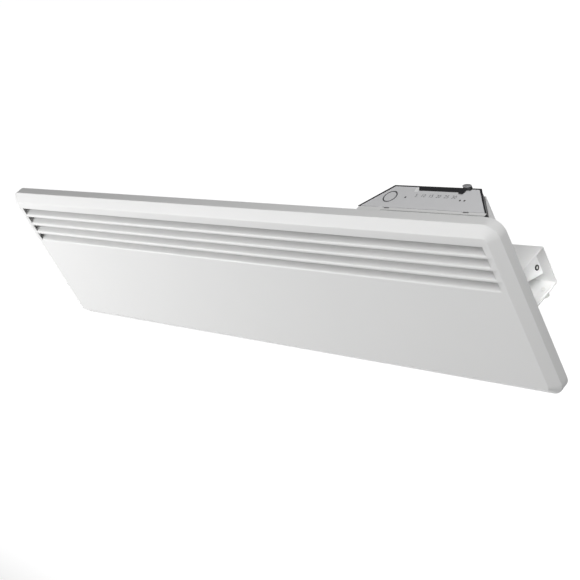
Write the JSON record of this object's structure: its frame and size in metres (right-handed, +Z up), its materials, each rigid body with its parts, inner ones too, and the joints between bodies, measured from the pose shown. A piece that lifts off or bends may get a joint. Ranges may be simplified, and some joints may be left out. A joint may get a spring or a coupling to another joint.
{
  "type": "wall panel convector heater",
  "caption": "Low electric panel heater with a louvred folded steel front, sloped rear casing, rear top control unit with a sliding temperature control, and a channel wall bracket.",
  "frame": {"origin": "centre of the rectangle of four wall screw holes, on the bracket's rear face that lies against the wall", "axes": "+X along the wall to the heater's right as seen from the front, +Y into the wall, +Z up; the heater's front faces -Y"},
  "size_m": [0.785, 0.09, 0.2073],
  "materials": {
    "white_paint": "white powder coat on steel sheet, satin, with a very fine texture",
    "zinc": "bright zinc plate",
    "dark_plastic": "moulded dark grey plastic, fine spark texture",
    "dark_rubber": "soft moulded rubber",
    "plate_grey": "light grey moulded plastic with a matt printed face",
    "knob_grey": "mid grey moulded plastic, matt",
    "lamp_clear": "clear to milky light pipe",
    "board_green": "green circuit board",
    "relay_blue": "blue moulded relay case",
    "ceramic": "off-white ceramic",
    "brass": "plain turned brass",
    "alloy": "bare aluminium, dull",
    "lead_sleeve": "heat-proof silicone sleeve, brick red",
    "clip_white": "white nylon"
  },
  "bodies": {
    "bracket": {"wall_bracket": "white_paint", "end_tab_bushes": "dark_plastic", "lock_screws": "zinc"},
    "heater": {"front_panel": "white_paint", "rear_casing": "white_paint", "casing_screws": "zinc", "locking_feet": "white_paint", "feet_rivets": "zinc", "control_box": "white_paint", "box_screws": "zinc", "control_tub": "dark_plastic", "control_plate": "plate_grey", "lamp_pipes": "lamp_clear", "circuit_board": "board_green", "slide_potentiometer": "zinc", "power_relay": "relay_blue", "terminal_block": "ceramic", "terminal_screws": "brass", "cable_grommet": "dark_rubber", "lead_grommet": "dark_rubber", "earth_screw": "brass", "element_fins": "alloy", "element_rod": "zinc", "element_bushes": "ceramic", "element_hangers": "zinc", "heat_shield": "alloy", "thermal_cutout": "dark_plastic", "cutout_plate": "zinc", "room_sensor": "dark_plastic", "sensor_clip": "clip_white", "element_leads": "lead_sleeve"},
    "slider": {"slider_carriage": "dark_plastic", "slider_knob": "knob_grey"}
  },
  "joints": [
    {"name": "heater_lift", "type": "slide", "parent": "bracket", "child": "heater", "axis": [0, 0, 1], "range_m": [0, 0.01]},
    {"name": "temperature_slider", "type": "slide", "parent": "heater", "child": "slider", "axis": [1, 0, 0], "range_m": [-0.05, 0]}
  ]
}
